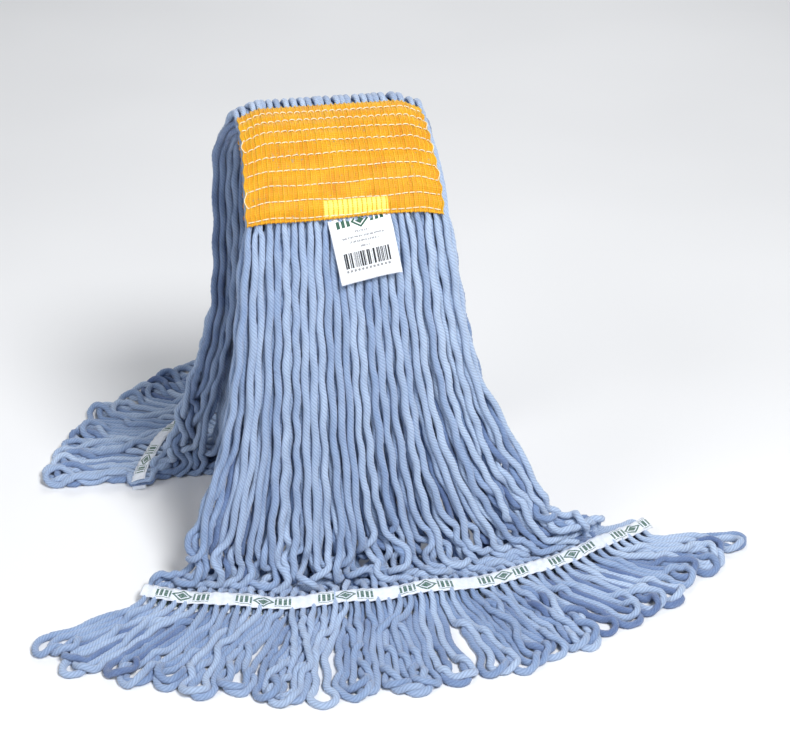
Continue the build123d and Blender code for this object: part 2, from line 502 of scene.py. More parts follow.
class StrandTree(NodeTree):
    """The Geometry Nodes tree that spins a twisted strand along every line of a mesh."""

    SIZES = ("Strand Radius", "Twist Lead", "Ring Spacing", "Ply Depth", "Roughness")

    def __init__(self, name: str) -> None:
        """Builds the tree with its named inputs."""
        super().__init__(bpy.data.node_groups.new(name, "GeometryNodeTree"))
        face = self.tree.interface
        face.new_socket("Lines", in_out="INPUT", socket_type="NodeSocketGeometry")
        face.new_socket("Strands", in_out="OUTPUT", socket_type="NodeSocketGeometry")
        self.ids: dict[str, str] = {}
        kinds = {size: "NodeSocketFloat" for size in self.SIZES}
        for size, kind in {**kinds, "Sides": "NodeSocketInt", "Finish": "NodeSocketMaterial"}.items():
            self.ids[size] = face.new_socket(size, in_out="INPUT", socket_type=kind).identifier
        self.enter = self.tree.nodes.new("NodeGroupInput")
        self._build()

    def _own(self, name: str) -> Socket:
        """Reads one of the mesh's own numbers."""
        found = self.node("GeometryNodeInputNamedAttribute", {"Name": name}, data_type="FLOAT")
        return found.outputs["Attribute"]

    def _build(self) -> None:
        """Lays out the tree: lines, even spacing, twist, section, a little unevenness, one mesh."""
        given = self.enter.outputs
        lines = self.node("GeometryNodeMeshToCurve", {"Mesh": given["Lines"]})
        kind = "CATMULL_ROM"
        soft = self.node("GeometryNodeCurveSplineType", {"Curve": lines.outputs[0]}, spline_type=kind)
        spacing = {"Curve": soft.outputs[0], "Length": given["Ring Spacing"]}
        even = self.node("GeometryNodeResampleCurve", spacing, mode="LENGTH")
        run = self.node("GeometryNodeSplineParameter", {}).outputs["Length"]
        turns = self.math("DIVIDE", run, given["Twist Lead"])
        tilt = self.math("MULTIPLY_ADD", turns, -TAU, self._own("turn"))
        twisted = self.node("GeometryNodeSetCurveTilt", {"Curve": even.outputs[0], "Tilt": tilt})
        scale = self.math("MULTIPLY", self._own("plump"), given["Strand Radius"])
        profile = self._section()
        sweep = {"Curve": twisted.outputs[0], "Profile Curve": profile, "Scale": scale, "Fill Caps": True}
        spun = self.node("GeometryNodeCurveToMesh", sweep)
        uneven = self.node("ShaderNodeTexNoise", {"Scale": 420.0, "Detail": 1.0})
        lift = self.math("MULTIPLY", self.math("SUBTRACT", uneven.outputs[0], 0.5), given["Roughness"])
        normal = self.node("GeometryNodeInputNormal", {}).outputs[0]
        push = self.node("ShaderNodeVectorMath", {0: normal, "Scale": lift}, operation="SCALE")
        offset = {"Geometry": spun.outputs[0], "Offset": push.outputs[0]}
        rough = self.node("GeometryNodeSetPosition", offset)
        shaded = self.node("GeometryNodeSetShadeSmooth", {"Geometry": rough.outputs[0]})
        real = self.node("GeometryNodeRealizeInstances", {"Geometry": shaded.outputs[0]})
        finish = {"Geometry": real.outputs[0], "Material": given["Finish"]}
        dressed = self.node("GeometryNodeSetMaterial", finish)
        leave = self.tree.nodes.new("NodeGroupOutput")
        self.feed(leave, {0: dressed.outputs[0]})

    def _section(self) -> Socket:
        """Makes the strand's section: a ring whose every other point is sunk between two plies."""
        given = self.enter.outputs
        ring = self.node("GeometryNodeCurvePrimitiveCircle", {"Resolution": given["Sides"], "Radius": 1.0})
        odd = self.math("MODULO", self.node("GeometryNodeInputIndex", {}).outputs[0], 2.0)
        factor = self.math("SUBTRACT", 1.0, self.math("MULTIPLY", odd, given["Ply Depth"]))
        place = self.node("GeometryNodeInputPosition", {}).outputs[0]
        sunk = self.node("ShaderNodeVectorMath", {0: place, "Scale": factor}, operation="SCALE").outputs[0]
        shaped = self.node("GeometryNodeSetPosition", {"Geometry": ring.outputs[0], "Position": sunk})
        stored = {"Geometry": shaped.outputs[0], "Name": "ply", "Value": self.math("SUBTRACT", 1.0, odd)}
        kept = self.node("GeometryNodeStoreNamedAttribute", stored, data_type="FLOAT", domain="POINT")
        return kept.outputs[0]

    def spin(self, name: str, lines: list["Line"], finish: Material, sizes: dict[str, float]) -> Piece:
        """Spins strands along lines into one plain mesh object.

        Args:
            name: The object's name.
            lines: The strands' middle lines.
            finish: The material.
            sizes: The tree's inputs by name.

        Returns:
            The plain mesh object, at the origin.
        """
        counts = [len(line.points) for line in lines]
        starts = np.cumsum([0] + counts)
        edges = [(k, k + 1) for a, n in zip(starts, counts) for k in range(a, a + n - 1)]
        mesh = bpy.data.meshes.new(name + "_lines")
        mesh.from_pydata(np.concatenate([line.points for line in lines]).tolist(), edges, [])
        given = {
            "plump": [line.plump for line in lines],
            "tone": [line.tone for line in lines],
            "turn": [line.turn for line in lines],
        }
        for key, values in given.items():
            numbers = np.concatenate([np.broadcast_to(value, n) for value, n in zip(values, counts)])
            mesh.attributes.new(key, "FLOAT", "POINT").data.foreach_set("value", numbers.astype(np.float32))
        source = linked(name + "_lines", mesh)
        spinner = source.modifiers.new("Spin", "NODES")
        spinner.node_group = self.tree
        for key, value in sizes.items():
            spinner[self.ids[key]] = value
        spinner[self.ids["Finish"]] = finish
        return plain(source, name)


def strand_sizes(
    radius: float, *, lead: float, spacing: float, depth: float, sides: int, rough: float = 0.0
) -> dict[str, float]:
    """Names the sizes of a strand as the strand tree's inputs.

    Args:
        radius: Its radius over the plies.
        lead: The length of one turn of its twist.
        spacing: The distance between its rings.
        depth: How deep the grooves between its plies are, as a share of the radius.
        sides: The sides of its section.
        rough: How uneven its surface is.

    Returns:
        The sizes by input name.
    """
    return {
        "Strand Radius": radius,
        "Twist Lead": lead,
        "Ring Spacing": spacing,
        "Ply Depth": depth,
        "Sides": sides,
        "Roughness": rough,
    }


@dataclass
class Line:
    """The middle line of one strand or thread, with what the strand tree reads along it."""

    points: Array
    plump: Array | float = 1.0
    tone: Array | float = 0.5
    turn: Array | float = 0.0


def cloth(name: str, grid: Array, flat: Array, thickness: float, finish: Material) -> Piece:
    """Makes a thin closed sheet through a grid of points.

    Args:
        name: The object's name.
        grid: Rows and columns of points, in metres.
        flat: The same rows and columns on the flat cloth, in metres, for its UV map.
        thickness: The cloth's thickness.
        finish: The material.

    Returns:
        The sheet as a plain mesh object.
    """
    rows, columns = grid.shape[:2]
    index = np.arange(rows * columns).reshape(rows, columns)
    faces = np.stack([index[:-1, :-1], index[:-1, 1:], index[1:, 1:], index[1:, :-1]], -1).reshape(-1, 4)
    mesh = bpy.data.meshes.new(name)
    mesh.from_pydata(grid.reshape(-1, 3).tolist(), [], faces.tolist())
    layer = mesh.uv_layers.new(name="cloth")
    corners = np.zeros(len(mesh.loops), np.int32)
    mesh.loops.foreach_get("vertex_index", corners)
    layer.data.foreach_set("uv", flat.reshape(-1, 2)[corners].astype(np.float32).ravel())
    mesh.polygons.foreach_set("use_smooth", [True] * len(mesh.polygons))
    mesh.materials.append(finish)
    source = linked(name + "_flat", mesh)
    wall = source.modifiers.new("Wall", "SOLIDIFY")
    wall.thickness = thickness
    wall.offset = 0.0
    return plain(source, name)


# ---------------------------------------------------------------- the forms that the mop lies on


@dataclass(frozen=True)
class Drape:
    """The saddle that the headband takes; arcs are measured from its crest, back positive."""

    radius: float
    centre: tuple[float, float, float]
    hem: float
    overlap: float
    droop: float = 0.008
    droop_zone: tuple[float, float] = (0.055, 0.080)
    flare: float = 0.045

    @classmethod
    def from_frame(cls) -> "Drape":
        """Reads the saddle from the headband's place and the two skirt hinges.

        Returns:
            The saddle.
        """
        low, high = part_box("headband_outer_panel")
        hem, crest = joint_point("front_skirt_swing"), joint_point("back_skirt_swing")
        rise, reach = crest[2] - hem[2], crest[1] - hem[1]
        radius = SADDLE_RADIUS
        middle = (crest[1:] + hem[1:]) / 2
        half = math.hypot(rise, reach) / 2
        sag = math.sqrt(radius**2 - half**2)
        inward = np.array([rise, -reach]) / (2 * half)
        centre = middle + inward * sag
        angles = [math.atan2(p[1] - centre[0], p[2] - centre[1]) for p in (hem, crest)]
        middle_x = (low.x + high.x) / 2
        return cls(radius, (middle_x, centre[0], centre[1]), angles[0] * radius, angles[1] * radius)

    def at(self, across: Array, arc: Array, depth: Array | float) -> Array:
        """Finds points on the saddle.

        Args:
            across: The distance from the headband's middle.
            arc: The distance round the saddle from its crest.
            depth: How far under the headband's outer face.

        Returns:
            The points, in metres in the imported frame.
        """
        across, arc, depth = np.broadcast_arrays(np.asarray(across, float), arc, depth)
        angle = arc / self.radius
        reach = self.radius - depth
        spread = across * (1 + self.flare * smooth(0.02, 0.112, -arc))
        height = self.centre[2] + reach * np.cos(angle)
        beside = self.droop * smooth(*self.droop_zone, np.abs(across))
        droop = beside * np.cos(np.clip(np.abs(angle), 0, math.pi / 2))
        return np.stack([self.centre[0] + spread, self.centre[1] + reach * np.sin(angle), height - droop], -1)


class Side(Enum):
    """Which way a skirt hangs from the headband."""

    FRONT = -1
    BACK = 1


@dataclass
class FloorArc:
    """Part of a circle on the floor through three points, given from under the saddle's middle."""

    start: tuple[float, float]
    middle: tuple[float, float]
    end: tuple[float, float]
    origin: tuple[float, float]
    centre: Array = field(init=False)
    radius: float = field(init=False)
    turn: tuple[float, float] = field(init=False)

    def __post_init__(self) -> None:
        """Works out the circle and the angles of its ends."""
        given = (self.start, self.middle, self.end)
        a, b, c = (np.array(p, float) * MM + np.array(self.origin) for p in given)
        self.centre = np.linalg.solve(2 * np.array([b - a, c - a]), np.array([b @ b - a @ a, c @ c - a @ a]))
        self.radius = float(np.linalg.norm(a - self.centre))
        angles = [math.atan2(p[1] - self.centre[1], p[0] - self.centre[0]) for p in (a, b, c)]
        for k in (1, 2):
            angles[k] = angles[k - 1] + (angles[k] - angles[k - 1] + math.pi) % TAU - math.pi
        self.turn = (angles[0], angles[2])

    def at(self, share: Array | float, outward: Array | float = 0.0) -> Array:
        """Finds points by their share of the arc and their distance outside it.

        Args:
            share: From 0 at the start to 1 at the end.
            outward: The distance outside the circle.

        Returns:
            The points' two coordinates.
        """
        angle = self.turn[0] + (self.turn[1] - self.turn[0]) * np.asarray(share, float)
        reach = self.radius + np.asarray(outward, float)
        return np.stack([self.centre[0] + reach * np.cos(angle), self.centre[1] + reach * np.sin(angle)], -1)

    def length(self) -> float:
        """Gives the arc's length."""
        return self.radius * abs(self.turn[1] - self.turn[0])


@dataclass
class TapeLine:
    """Where a tail tape runs: its arc over the floor and how high its upper ply rides on the strands."""

    arc: FloorArc
    phase: float
    width: float = 0.013
    slope: float = 0.26
    low: float = 0.0130
    rise: float = 0.0032

    def height(self, share: Array | float, across: Array | float = 0.0) -> Array:
        """Finds how high the upper ply rides.

        Args:
            share: The share of the tape's length.
            across: The distance outside its middle, towards the fringe, where it leans down.

        Returns:
            The height over the floor.
        """
        share = np.asarray(share, float)
        swell = np.sin(math.pi * np.clip(share, 0, 1))
        wave = 0.0020 * np.sin(TAU * (2.3 * share + self.phase))
        ripple = 0.0012 * np.sin(TAU * (5.7 * share + 2 * self.phase))
        uneven = (wave + ripple) * (0.35 + 0.65 * swell)
        return self.low + self.rise * swell + uneven - self.slope * np.asarray(across)


# ---------------------------------------------------------------- strands that settle


@dataclass
class Chains:
    """Many strands as chains of points, with which points move and how long each link is."""

    points: Array
    freedom: Array
    links: Array
    zone: Array
    owner: Array
    starts: Array

    @classmethod
    def joined(cls, parts: list[tuple[Array, ...]]) -> "Chains":
        """Puts separate strands into one set.

        Args:
            parts: Each strand's points, their freedom, its link lengths and its points' zones.

        Returns:
            The set.
        """
        points, freedom, links, zone = ([part[k] for part in parts] for k in range(4))
        counts = [len(p) for p in points]
        owner = np.repeat(np.arange(len(points)), counts)
        joined = [np.concatenate(values) for values in (points, freedom, links, zone)]
        return cls(*joined, owner, np.cumsum([0] + counts))

    def split(self) -> list[Array]:
        """Gives each strand's points."""
        return [self.points[a:b] for a, b in zip(self.starts, self.starts[1:])]


@dataclass(frozen=True)
class StrandSolver:
    """Settles limp strands under their own weight, on the floor, on the saddle and on each other."""

    drape: Drape
    side: Side
    tape: TapeLine
    steps: int = 150
    rounds: int = 4
    weight: float = 0.00012
    damping: float = 0.94
    contact: float = 0.0059
    reach: float = 0.0092
    friction: float = 0.4
    stiffness: float = 0.55
    least_bend: float = 0.94
    least_arch: float = 0.87
    top_speed: float = 0.003
    floor_height: float = 0.0031
    form_depth: float = 0.021
    form_flare: float = 0.018
    tape_room: float = 0.0105
    tape_zone: float = 0.034
    push_share: float = 0.6

    def settle(self, chains: Chains) -> None:
        """Moves the free points until they lie still.

        Args:
            chains: The strands, whose points are changed.
        """
        a_and_b = list(zip(chains.starts, chains.starts[1:]))
        first = np.concatenate([np.arange(a, b - 1) for a, b in a_and_b])
        parity = np.concatenate([np.arange(b - a - 1) % 2 for a, b in a_and_b])
        bends = np.concatenate([np.arange(a, b - 2) for a, b in a_and_b])
        third = np.concatenate([np.arange(b - a - 2) % 3 for a, b in a_and_b])
        spans = chains.links[np.searchsorted(first, bends)] + chains.links[np.searchsorted(first, bends + 1)]
        link_sets = [(first[parity == k], chains.links[parity == k]) for k in range(2)]
        bend_sets = [(bends[third == k], spans[third == k] * self.least_bend) for k in range(3)]
        x, before, freedom = chains.points, chains.points.copy(), chains.freedom
        free = freedom > 0
        wide = np.concatenate([np.arange(a, b - 4) for a, b in a_and_b])
        wide_third = np.concatenate([np.arange(b - a - 4) % 8 // 4 for a, b in a_and_b])
        arches = chains.links[np.searchsorted(first, wide)] * 4 * self.least_arch
        wide_sets = [(wide[wide_third == k], arches[wide_third == k]) for k in range(2)]
        pairs = np.zeros((0, 2), int)
        for step in range(self.steps):
            move = (x - before) * self.damping
            speed = np.linalg.norm(move, axis=1, keepdims=True)
            move *= np.minimum(1, self.top_speed / np.maximum(speed, 1e-9))
            before = x.copy()
            x += move * freedom[:, None]
            x[free, 2] -= self.weight
            if step % 3 == 0:
                pairs = self._near(x, chains.owner)
            touching = np.zeros(len(x), bool)
            for _ in range(self.rounds):
                for index, lengths in link_sets:
                    self._stretch(x, freedom, index, 1, lengths, False, 1.0)
                for index, lengths in bend_sets:
                    self._stretch(x, freedom, index, 2, lengths, True, self.stiffness)
                for index, lengths in wide_sets:
                    self._stretch(x, freedom, index, 4, lengths, True, self.stiffness)
                touching |= self._part(x, freedom, pairs)
                low = free & (x[:, 2] < self.floor_height)
                x[low, 2] = self.floor_height
                touching |= low
                self._hold_off(x, free)
                self._fence(x, chains.zone)
            held = free & touching
            x[held] -= (x[held] - before[held]) * self.friction

    @staticmethod
    def _stretch(x: Array, freedom: Array, index: Array, hop: int, lengths: Array,
                 short_only: bool, share: float) -> None:
        """Brings pairs of points of one strand to their distance.

        Args:
            x: The points, which are changed.
            freedom: The points' freedom.
            index: The first point of each pair.
            hop: How many points further the second one is.
            lengths: The distances wanted.
            short_only: Whether only pairs that are too near are moved.
            share: How much of the error is taken out.
        """
        gap = x[index + hop] - x[index]
        length = np.linalg.norm(gap, axis=1)
        error = length - lengths
        if short_only:
            error = np.minimum(error, 0)
        near, far = freedom[index], freedom[index + hop]
        change = (error / np.maximum(length, 1e-9) / np.maximum(near + far, 1e-9) * share)[:, None] * gap
        x[index] += near[:, None] * change
        x[index + hop] -= far[:, None] * change

    def _part(self, x: Array, freedom: Array, pairs: Array) -> Array:
        """Pushes strands that lie in each other apart.

        Args:
            x: The points, which are changed.
            freedom: The points' freedom.
            pairs: The pairs of points that may touch.

        Returns:
            Which points touch another strand.
        """
        gap = x[pairs[:, 0]] - x[pairs[:, 1]]
        length = np.sqrt(np.einsum("ij,ij->i", gap, gap))
        close = length < self.contact
        first, second = pairs[close].T
        total = np.maximum(freedom[first] + freedom[second], 1e-9)
        excess = (self.contact - length[close]) / np.maximum(length[close], 1e-9)
        push = (excess / total * self.push_share)[:, None] * gap[close]
        size = len(x)
        count = np.bincount(first, minlength=size) + np.bincount(second, minlength=size)
        mine, theirs = push * freedom[first][:, None], push * freedom[second][:, None]
        for axis in range(3):
            moved = np.bincount(first, mine[:, axis], size) - np.bincount(second, theirs[:, axis], size)
            x[:, axis] += moved / np.maximum(1, count * 0.5)
        return count > 0

    def _near(self, x: Array, owner: Array) -> Array:
        """Finds the pairs of points that are near enough to touch soon.

        Args:
            x: The points.
            owner: The strand that each belongs to.

        Returns:
            The pairs' indices.
        """
        cell = np.floor(x / self.reach).astype(np.int64)
        cell -= cell.min(0) - 1
        size = cell.max(0) + 2
        key = (cell[:, 0] * size[1] + cell[:, 1]) * size[2] + cell[:, 2]
        order = np.argsort(key, kind="stable")
        sorted_key = key[order]
        span = (-1, 0, 1)
        hops = [(0, 0, 0)] + [(a, b, c) for a in span for b in span for c in span if (a, b, c) > (0, 0, 0)]
        index, found = np.arange(len(x)), []
        for hop in hops:
            beside = key + (hop[0] * size[1] + hop[1]) * size[2] + hop[2]
            low, high = (np.searchsorted(sorted_key, beside, s) for s in ("left", "right"))
            count = high - low
            some = count > 0
            first = np.repeat(index[some], count[some])
            offset = np.arange(len(first)) - np.repeat(np.cumsum(count[some]) - count[some], count[some])
            second = order[np.repeat(low[some], count[some]) + offset]
            if hop == (0, 0, 0):
                keep = first < second
                first, second = first[keep], second[keep]
            found.append(np.stack([first, second], 1))
        pairs = np.concatenate(found)
        gap = x[pairs[:, 0]] - x[pairs[:, 1]]
        beside = (owner[pairs[:, 0]] == owner[pairs[:, 1]]) & (np.abs(pairs[:, 0] - pairs[:, 1]) < 3)
        return pairs[(np.einsum("ij,ij->i", gap, gap) < self.reach**2) & ~beside]

    def _fence(self, x: Array, zone: Array) -> None:
        """Keeps the legs on the inner side of the tape and the loops on its outer side.

        Args:
            x: The points, which are changed.
            zone: -1 for a point of a leg, 1 for a point of a loop and 0 for a held one.
        """
        arc = self.tape.arc
        offset = x[:, :2] - arc.centre
        reach = np.linalg.norm(offset, axis=1)
        over = (x[:, 2] < self.tape_zone) & ((reach - arc.radius) * zone < self.tape_room)
        over &= (zone != 0) & (np.sign(offset[:, 1]) == self.side.value)
        wanted = (arc.radius + zone[over] * self.tape_room) / reach[over]
        x[over, :2] = arc.centre + offset[over] * wanted[:, None]

    def _hold_off(self, x: Array, free: Array) -> None:
        """Keeps strands outside the saddle and the flaring wall of strands under it.

        Args:
            x: The points, which are changed.
            free: Which points may move.
        """
        middle, top = self.drape.centre[1:]
        inner = self.drape.radius - self.form_depth
        offset = x[:, 1:] - np.array([middle, top])
        reach = np.linalg.norm(offset, axis=1)
        inside = free & (x[:, 2] > top) & (reach < inner)
        x[inside, 1:] = offset[inside] / reach[inside][:, None] * inner + np.array([middle, top])
        wall = inner + self.form_flare * smooth(0.22, 0.0, x[:, 2])
        behind = free & (x[:, 2] <= top) & (self.side.value * (x[:, 1] - middle) < wall)
        x[behind, 1] = middle + self.side.value * wall[behind]


# ---------------------------------------------------------------- yarn


@dataclass
class YarnSkirt:
    """One skirt of the mop: strands from the headband, through the tail tape, to closed loops."""

    name: str
    side: Side
    drape: Drape
    tape: TapeLine
    tips: FloorArc
    slack: float
    early: float
    seed: int
    held: int = 2
    columns: int = 26
    layer_pitch: float = 0.0041
    first_depth: float = 0.0039
    diameter: float = 0.0064
    spacing: float = 0.005
    joint_arc: float = -0.004
    lock_count: int = 8
    tape_squeeze: float = 0.75
    band_squeeze: float = 0.7
    upper_rest: float = 0.0033
    lower_rest: float = 0.0088

    def _depth(self, layer: int) -> float:
        """Gives how deep a layer of strands lies under the headband's face."""
        return self.first_depth + layer * self.layer_pitch

    def __post_init__(self) -> None:
        """Draws how far each strand strays from its column and reads the headband's width."""
        low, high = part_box("headband_outer_panel")
        self.band_width = high.x - low.x
        rng = np.random.default_rng(self.seed + 100)
        self.stray = rng.normal(0, 0.0012, (self.columns, 4)).clip(-0.002, 0.002)

    def _spare(self, share: float) -> float:
        """Gives the extra length that lets a leg buckle, which is least at the tape's ends."""
        return self.slack * (0.15 + 0.85 * math.sin(math.pi * share) ** 2)

    def _across(self, column: int, layer: int) -> float:
        """Gives a strand's distance from the headband's middle; the last ones pass its right edge."""
        share = (column + 0.5) / self.columns
        place = self.band_width * (share - 0.5) + 0.0045 * float(smooth(0.8, 1.0, share))
        return place + 0.0029 * (layer % 2 - 0.5) * float(smooth(1.0, 0.9, share)) + self.stray[column, layer]

    def _hidden(self, column: int, layer: int) -> Array:
        """Gives a strand's points under the headband, from its crest to where it comes out."""
        end = self.drape.hem if self.side is Side.FRONT else self.drape.overlap
        count = max(3, int(abs(end - self.joint_arc) / self.spacing))
        arcs = np.linspace(self.joint_arc, end, count + 1)[:-1]
        return self.drape.at(self._across(column, layer), arcs, self._depth(layer))

    def _leg(self, column: int, layer: int) -> tuple[Array, float]:
        """Lays out one strand from the headband to the tape.

        Args:
            column: The strand's column, from the left.
            layer: The strand's layer, from the outer face.

        Returns:
            The strand's points and its share of the tape.
        """
        x = self._across(column, layer)
        share = (4 * column + (0, 2, 1, 3)[layer] + 0.5) / (4 * self.columns)
        out, parts = self.side.value, []
        drop = abs(self.drape.hem)
        if self.side is Side.BACK:
            arc = np.linspace(self.drape.overlap, drop, 22)
            swell = 0.0036 * smooth(arc[0], arc[0] + 0.013, arc)
            plump = swell - 0.003 * smooth(arc[0] + 0.03, arc[0] + 0.07, arc)
            depth = self._depth(layer) + 0.0006 * layer - plump
            parts.append(self.drape.at(x * (1 + 0.06 * smooth(0.02, 0.11, arc)), arc, depth))
            top = parts[0][-1]
        else:
            top = self.drape.at(x, self.drape.hem, self._depth(layer))
        rest = self.upper_rest if layer < 2 else self.lower_rest
        foot = np.r_[self.tape.arc.at(share, -0.0105), float(self.tape.height(share, -0.0065)) - rest]
        t = np.linspace(0, 1, 60)[1 if parts else 0:]
        power = 6 - (3.4 if self.side is Side.FRONT else 0.0) * float(smooth(0.22, 0.0, share))
        fan = (self.early * t + (1 - self.early) * t**power)[:, None]
        line = top + (foot - top) * fan
        line[:, 2] = top[2] + (foot[2] - top[2]) * t
        line[:, 1] -= out * layer * 0.0052 * fan[:, 0] * (1 - smooth(0.86, 1.0, t))
        line += self._buckle(t, share, layer)
        line[:, 2] = np.maximum(line[:, 2], 0.003)
        parts.append(line)
        return np.concatenate(parts), share

    def _buckle(self, t: Array, share: float, layer: int) -> Array:
        """Bends a leg into the long waves that its spare length makes over the tape.

        Args:
            t: The share of the leg's length at each point.
            share: Its place along the tape.
            layer: Its layer.

        Returns:
            How far each point moves.
        """
        rng = np.random.default_rng([self.seed, int(share * 1e6)])
        spare = self._spare(share)
        size = 0.0092 * math.sqrt(spare / 0.03) * rng.uniform(0.45, 1.25)
        start = rng.uniform(0.46, 0.66)
        along = np.clip((t - start) / (1 - start), 0, 1)
        window = smooth(0, 0.45, along) * (0.55 + 0.6 * along) * (1 - smooth(0.86, 1.0, along))
        phase = TAU * (rng.uniform(1.1, 1.9) * along**1.25 + 7 * share + rng.normal(0, 0.14))
        heading = rng.normal(0.35, 0.5)
        wave = size * window * np.sin(phase)
        out = self.side.value * np.abs(wave) * abs(math.sin(heading)) * (0.8 - 0.2 * layer)
        return np.stack([wave * math.cos(heading), out, np.zeros_like(t)], -1)

    def _loop(self, shares: tuple[float, float], upper: bool, rng: np.random.Generator) -> Array:
        """Lays out one loop of the fringe, from one strand's end round its tip to the other's.

        Args:
            shares: Where its two strands pass through the tape.
            upper: Whether it is in the upper row.
            rng: The source of its unevenness.

        Returns:
            The loop's points.
        """
        arc = self.tape.arc
        a, b = (arc.at(s, 0.0085) for s in shares)
        base, middle = (a + b) / 2, sum(shares) / 2
        rest = self.upper_rest if upper else self.lower_rest
        start = max(0.0027, float(np.mean(self.tape.height(np.array(shares), 0.0065))) - rest)
        target = self.tips.at(np.clip(middle + rng.normal(0, 0.006), 0, 1))
        reach = np.linalg.norm(target - base) + 0.004 - abs(rng.normal(0, 0.006)) - (0 if upper else 0.004)
        heading = (target - base) / np.linalg.norm(target - base)
        sway = rng.normal(0, math.radians(5))
        turn = np.array([[math.cos(sway), -math.sin(sway)], [math.sin(sway), math.cos(sway)]])
        heading = turn @ heading
        lateral = (b - a) / np.linalg.norm(b - a)
        half, tip_half = np.linalg.norm(b - a) / 2, rng.uniform(0.0050, 0.0095)
        bow, roll = rng.normal(0, 0.008), rng.normal(0, 0.6)
        q = np.linspace(0, 1, 28)

        def run(sign: float) -> Array:
            """Lays out one side of the loop."""
            offset = sign * (half + (tip_half - half) * smooth(0, 1, q)) + bow * np.sin(math.pi * q)
            hump = (0.004 * rng.uniform(0, 1) if upper else 0.0) * np.sin(math.pi * q)
            height = start + (0.0032 - start) * smooth(0, 0.85, q) + hump
            lean = np.abs(offset * np.sin(roll * q) * (1.0 if sign > 0 else 0.2))
            middle = base + heading * (q * (reach - tip_half))[:, None]
            flat = middle + lateral * (offset * np.cos(roll * q))[:, None]
            return np.concatenate([flat, (height + lean)[:, None]], 1)

        left, right = run(-1), run(1)
        angle = np.linspace(0, math.pi, 9)[1:-1, None]
        centre, radius = (left[-1] + right[-1]) / 2, (right[-1] - left[-1]) / 2
        ahead = np.r_[heading, 0.0] * np.linalg.norm(radius)
        bend = centre - np.cos(angle) * radius + np.sin(angle) * ahead
        return np.concatenate([left, bend, right[::-1]])

    def _strand(self, column: int, pair: tuple[int, int], rng: np.random.Generator) -> tuple[Array, ...]:
        """Lays out one whole strand: down, through the tape, round a loop, back through the tape and up.

        Args:
            column: Its column.
            pair: The layers of its two legs.
            rng: The source of its unevenness.

        Returns:
            Its points, their freedom, its link lengths, their zones, and how plump it is at each point.
        """
        (down, first), (up, second) = (self._leg(column, layer) for layer in pair)
        loop = self._loop((first, second), pair[0] == 0, rng)
        spare = self._spare(first)
        laid = [spaced(leg, self.spacing)[1] for leg in (down, up)]
        spare = 0.35 * spare - (0.004 if self.side is Side.FRONT else 0.002)
        lengths = [length + spare + rng.normal(0, 0.003) for length in laid]
        down, _ = spaced(down, self.spacing, lengths[0])
        loop, _ = spaced(loop, self.spacing)
        up, _ = spaced(up, self.spacing, lengths[1])
        share = np.linspace(0, 1, 4)[1:-1, None]
        enter = down[-1] + (loop[0] - down[-1]) * share
        leave = loop[-1] + (up[-1] - loop[-1]) * share
        points = np.concatenate([down, enter, loop, leave, up[::-1]])
        links = np.linalg.norm(np.diff(points, axis=0), axis=1)
        links[: len(down) - 1] = lengths[0] / (len(down) - 1)
        links[1 - len(up):] = lengths[1] / (len(up) - 1)
        links[len(down) + 2: len(down) + 1 + len(loop)] *= 1.03
        freedom, plump, zone = np.ones(len(points)), np.ones(len(points)), -np.ones(len(points))
        zone[len(down): len(down) + 4 + len(loop)] = 1
        freedom[: self.held] = freedom[-self.held:] = 0
        for at in (len(down) - 1, len(down) + 1 + len(loop)):
            freedom[at: at + 4] = 0
            zone[at: at + 4] = 0
            plump[at: at + 4] = self.tape_squeeze
            plump[[at - 1, at + 4]] = (1 + self.tape_squeeze) / 2
        ease = smooth(0, 6, np.arange(len(points))) * smooth(0, 6, np.arange(len(points))[::-1])
        plump = np.minimum(plump, self.band_squeeze + (1 - self.band_squeeze) * ease)
        return points, freedom, links, zone, plump

    def settled(self) -> list[tuple[int, Line]]:
        """Lays out every strand, lets them settle and adds their hidden ends.

        Returns:
            Each strand's column and line.
        """
        rng = np.random.default_rng(self.seed)
        keys = [(column, pair) for column in range(self.columns) for pair in ((0, 1), (2, 3))]
        made = [self._strand(column, pair, rng) for column, pair in keys]
        chains = Chains.joined(made)
        steps = FULL_STEPS
        StrandSolver(self.drape, self.side, self.tape, steps=steps).settle(chains)
        lines = []
        for (column, pair), points, parts in zip(keys, chains.split(), made):
            head, tail = self._hidden(column, pair[0]), self._hidden(column, pair[1])[::-1]
            whole = np.concatenate([head, self._wavy(points, parts[1], rng), tail])
            above, under = (np.full(len(end), self.band_squeeze) for end in (head, tail))
            plump = np.r_[above, parts[4], under]
            knots = np.arange(0, len(whole) + 6, 6)
            slubs = 1 + 0.05 * np.interp(np.arange(len(whole)), knots, rng.normal(0, 1, len(knots)))
            # Painted shade: the lower pair of layers gets a darker tone for the shadow under the upper
            # strands; within each range the tone varies at random.
            tone = rng.uniform(0, 1) if pair[0] == 0 else rng.uniform(-0.6, 0.25)
            lines.append((column, Line(whole, plump * slubs, tone, rng.uniform(0, TAU))))
        return lines

    @staticmethod
    def _wavy(points: Array, freedom: Array, rng: np.random.Generator) -> Array:
        """Gives a strand the slight waves that its twist leaves in it."""
        place = np.arange(len(points))
        wave = np.zeros((len(points), 3))
        for axis, size in ((0, 0.0008), (1, 0.0006)):
            period = rng.uniform(6, 12)
            wave[:, axis] = size * np.sin(TAU * (place / period + rng.uniform(0, 1)))
        return points + wave * (freedom * smooth(0, 5, place) * smooth(0, 5, place[::-1]))[:, None]

